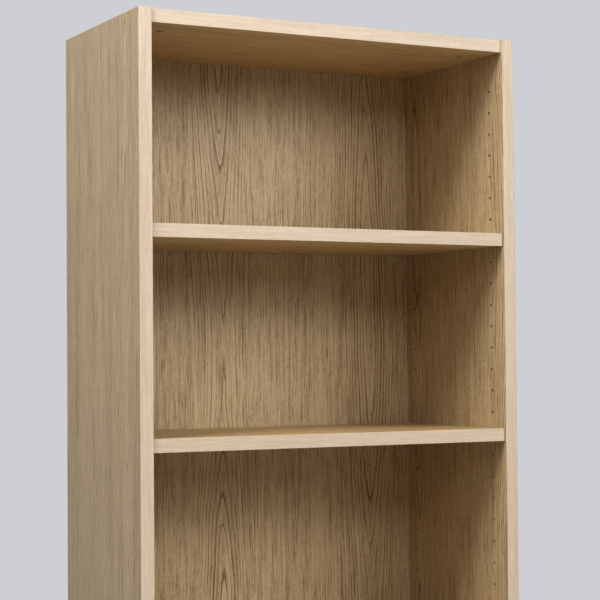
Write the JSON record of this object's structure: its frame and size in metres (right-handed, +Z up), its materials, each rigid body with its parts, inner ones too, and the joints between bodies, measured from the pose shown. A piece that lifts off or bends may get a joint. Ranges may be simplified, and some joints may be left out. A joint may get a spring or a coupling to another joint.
{
  "type": "bookcase with adjustable shelves",
  "caption": "Tall narrow open bookcase in light oak with a thin back, rows of pin holes in the sides and loose shelves that lift off hidden pins.",
  "frame": {"origin": "on the floor under the middle of the overall width and depth", "axes": "+Z up; the open front faces -Y and the back panel is at +Y; +X to the right seen from the front"},
  "size_m": [0.6, 0.283, 1.822],
  "materials": {
    "oak_side": "satin light oak foil on board, grain upright",
    "oak_board": "satin light oak foil on board, grain across the width",
    "oak_band": "satin light oak edge band",
    "oak_back": "satin light oak foil on thin fibreboard, grain upright",
    "beech": "plain turned beech",
    "zinc": "die-cast zinc",
    "zinc_bolt": "zinc-plated steel",
    "nickel": "nickel-plated steel",
    "glide_plastic": "hard off-white plastic"
  },
  "bodies": {
    "case": {"left_side": "oak_side", "left_side_edge_band": "oak_band", "right_side": "oak_side", "right_side_edge_band": "oak_band", "top_board": "oak_board", "top_board_edge_band": "oak_band", "top_board_cam_locks": "zinc", "top_board_cam_bolts": "zinc_bolt", "top_board_dowels": "beech", "fixed_shelf": "oak_board", "fixed_shelf_edge_band": "oak_band", "fixed_shelf_cam_locks": "zinc", "fixed_shelf_cam_bolts": "zinc_bolt", "fixed_shelf_dowels": "beech", "bottom_board": "oak_board", "bottom_board_edge_band": "oak_band", "bottom_board_cam_locks": "zinc", "bottom_board_cam_bolts": "zinc_bolt", "bottom_board_dowels": "beech", "plinth": "oak_board", "plinth_dowels": "beech", "back_panel": "oak_back", "back_panel_nails": "nickel", "floor_glides": "glide_plastic", "wall_bracket": "zinc", "wall_bracket_screws": "zinc_bolt"},
    "shelf_1": {"shelf_1": "oak_board", "shelf_1_edge_band": "oak_band"},
    "shelf_1_left_pins": {"shelf_1_left_pins": "nickel"},
    "shelf_1_right_pins": {"shelf_1_right_pins": "nickel"},
    "shelf_2": {"shelf_2": "oak_board", "shelf_2_edge_band": "oak_band"},
    "shelf_2_left_pins": {"shelf_2_left_pins": "nickel"},
    "shelf_2_right_pins": {"shelf_2_right_pins": "nickel"},
    "shelf_3": {"shelf_3": "oak_board", "shelf_3_edge_band": "oak_band"},
    "shelf_3_left_pins": {"shelf_3_left_pins": "nickel"},
    "shelf_3_right_pins": {"shelf_3_right_pins": "nickel"},
    "shelf_4": {"shelf_4": "oak_board", "shelf_4_edge_band": "oak_band"},
    "shelf_4_left_pins": {"shelf_4_left_pins": "nickel"},
    "shelf_4_right_pins": {"shelf_4_right_pins": "nickel"}
  },
  "joints": [
    {"name": "shelf_1_lift", "type": "slide", "parent": "case", "child": "shelf_1", "axis": [0, 0, 1], "range_m": [0, 0.256]},
    {"name": "shelf_1_left_pins_draw", "type": "slide", "parent": "case", "child": "shelf_1_left_pins", "axis": [1, 0, 0], "range_m": [0, 0.01]},
    {"name": "shelf_1_right_pins_draw", "type": "slide", "parent": "case", "child": "shelf_1_right_pins", "axis": [-1, 0, 0], "range_m": [0, 0.01]},
    {"name": "shelf_2_lift", "type": "slide", "parent": "case", "child": "shelf_2", "axis": [0, 0, 1], "range_m": [0, 0.256]},
    {"name": "shelf_2_left_pins_draw", "type": "slide", "parent": "case", "child": "shelf_2_left_pins", "axis": [1, 0, 0], "range_m": [0, 0.01]},
    {"name": "shelf_2_right_pins_draw", "type": "slide", "parent": "case", "child": "shelf_2_right_pins", "axis": [-1, 0, 0], "range_m": [0, 0.01]},
    {"name": "shelf_3_lift", "type": "slide", "parent": "case", "child": "shelf_3", "axis": [0, 0, 1], "range_m": [0, 0.256]},
    {"name": "shelf_3_left_pins_draw", "type": "slide", "parent": "case", "child": "shelf_3_left_pins", "axis": [1, 0, 0], "range_m": [0, 0.01]},
    {"name": "shelf_3_right_pins_draw", "type": "slide", "parent": "case", "child": "shelf_3_right_pins", "axis": [-1, 0, 0], "range_m": [0, 0.01]},
    {"name": "shelf_4_lift", "type": "slide", "parent": "case", "child": "shelf_4", "axis": [0, 0, 1], "range_m": [0, 0.256]},
    {"name": "shelf_4_left_pins_draw", "type": "slide", "parent": "case", "child": "shelf_4_left_pins", "axis": [1, 0, 0], "range_m": [0, 0.01]},
    {"name": "shelf_4_right_pins_draw", "type": "slide", "parent": "case", "child": "shelf_4_right_pins", "axis": [-1, 0, 0], "range_m": [0, 0.01]}
  ]
}
